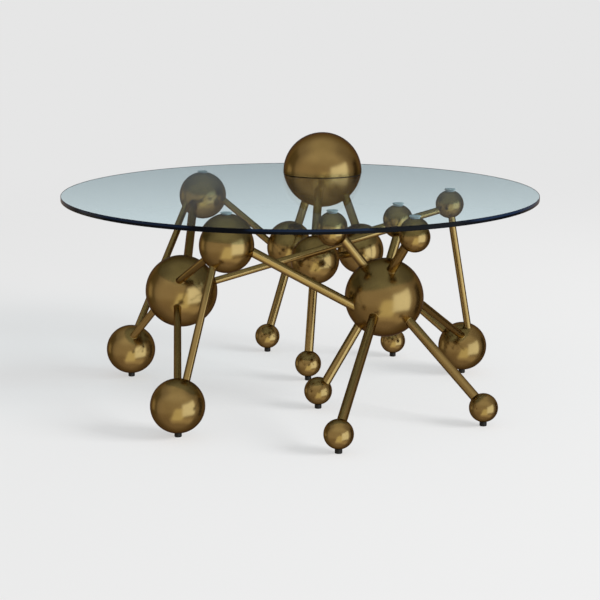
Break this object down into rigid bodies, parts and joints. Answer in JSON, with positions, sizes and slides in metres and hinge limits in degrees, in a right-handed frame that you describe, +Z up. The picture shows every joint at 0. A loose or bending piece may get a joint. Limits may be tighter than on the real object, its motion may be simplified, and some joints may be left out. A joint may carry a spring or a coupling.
{
  "type": "coffee table",
  "caption": "Round clear-glass coffee table on a free-standing base of antique-brass balls and straight rods; a split ball clamps the glass, which lifts off, and every foot has a screw glide.",
  "frame": {"origin": "on the floor plane, under the middle of the whole plan (the bounding box); the centre of the round glass is 43 mm behind it, because one foot stands out in front of the glass", "axes": "+Z up, out of the table top; +Y to the back, where the clamping ball stands; +X to the right seen from the front"},
  "size_m": [0.9999, 1.086, 0.4965],
  "materials": {
    "brass": "satin antique brass, brushed and lacquered",
    "post": "turned steel, plain",
    "glass": "clear tempered float glass with a pale blue tint and ground edge",
    "clear_pad": "clear soft polyurethane",
    "gasket": "black, matt",
    "glide": "black moulded nylon, matt"
  },
  "bodies": {
    "base": {"ball_hub1": "brass", "ball_hub2": "brass", "ball_link1": "brass", "ball_link2": "brass", "ball_link3": "brass", "ball_perch1": "brass", "ball_perch2": "brass", "ball_perch3": "brass", "ball_perch4": "brass", "ball_perch5": "brass", "ball_perch6": "brass", "ball_foot1": "brass", "ball_foot2": "brass", "ball_foot3": "brass", "ball_foot4": "brass", "ball_foot5": "brass", "ball_foot6": "brass", "ball_foot7": "brass", "ball_foot8": "brass", "ball_foot9": "brass", "rod_perch1_hub1": "brass", "rod_perch1_foot1": "brass", "rod_perch1_link1": "brass", "rod_perch2_hub1": "brass", "rod_perch2_foot2": "brass", "rod_perch2_hub2": "brass", "rod_hub1_foot1": "brass", "rod_hub1_foot2": "brass", "rod_hub1_perch6": "brass", "rod_perch3_hub2": "brass", "rod_perch4_hub2": "brass", "rod_perch5_hub2": "brass", "rod_hub2_foot9": "brass", "rod_hub2_foot6": "brass", "rod_hub2_foot5": "brass", "rod_hub2_foot8": "brass", "rod_link3_foot8": "brass", "rod_perch6_foot8": "brass", "rod_crown_link1": "brass", "rod_crown_link2": "brass", "rod_crown_link3": "brass", "rod_link1_foot3": "brass", "rod_link2_foot4": "brass", "rod_link3_foot7": "brass", "rod_link2_link3": "brass", "crown_bowl": "brass", "clamp_post": "post", "glass_pads": "clear_pad"},
    "glass": {"glass_top": "glass", "gasket_rings": "gasket"},
    "dome": {"crown_dome": "brass"},
    "glide1": {"glide_foot1": "glide"},
    "glide2": {"glide_foot2": "glide"},
    "glide3": {"glide_foot3": "glide"},
    "glide4": {"glide_foot4": "glide"},
    "glide5": {"glide_foot5": "glide"},
    "glide6": {"glide_foot6": "glide"},
    "glide7": {"glide_foot7": "glide"},
    "glide8": {"glide_foot8": "glide"},
    "glide9": {"glide_foot9": "glide"}
  },
  "joints": [
    {"name": "glass_lift", "type": "slide", "parent": "base", "child": "glass", "axis": [0, 0, 1], "range_m": [0, 0.12]},
    {"name": "dome_lift", "type": "slide", "parent": "glass", "child": "dome", "axis": [0, 0, 1], "range_m": [0, 0.1]},
    {"name": "glide1_screw", "type": "slide", "parent": "base", "child": "glide1", "axis": [0, 0, -1], "range_m": [0, 0.008]},
    {"name": "glide2_screw", "type": "slide", "parent": "base", "child": "glide2", "axis": [0, 0, -1], "range_m": [0, 0.008]},
    {"name": "glide3_screw", "type": "slide", "parent": "base", "child": "glide3", "axis": [0, 0, -1], "range_m": [0, 0.008]},
    {"name": "glide4_screw", "type": "slide", "parent": "base", "child": "glide4", "axis": [0, 0, -1], "range_m": [0, 0.008]},
    {"name": "glide5_screw", "type": "slide", "parent": "base", "child": "glide5", "axis": [0, 0, -1], "range_m": [0, 0.008]},
    {"name": "glide6_screw", "type": "slide", "parent": "base", "child": "glide6", "axis": [0, 0, -1], "range_m": [0, 0.008]},
    {"name": "glide7_screw", "type": "slide", "parent": "base", "child": "glide7", "axis": [0, 0, -1], "range_m": [0, 0.008]},
    {"name": "glide8_screw", "type": "slide", "parent": "base", "child": "glide8", "axis": [0, 0, -1], "range_m": [0, 0.008]},
    {"name": "glide9_screw", "type": "slide", "parent": "base", "child": "glide9", "axis": [0, 0, -1], "range_m": [0, 0.008]}
  ]
}
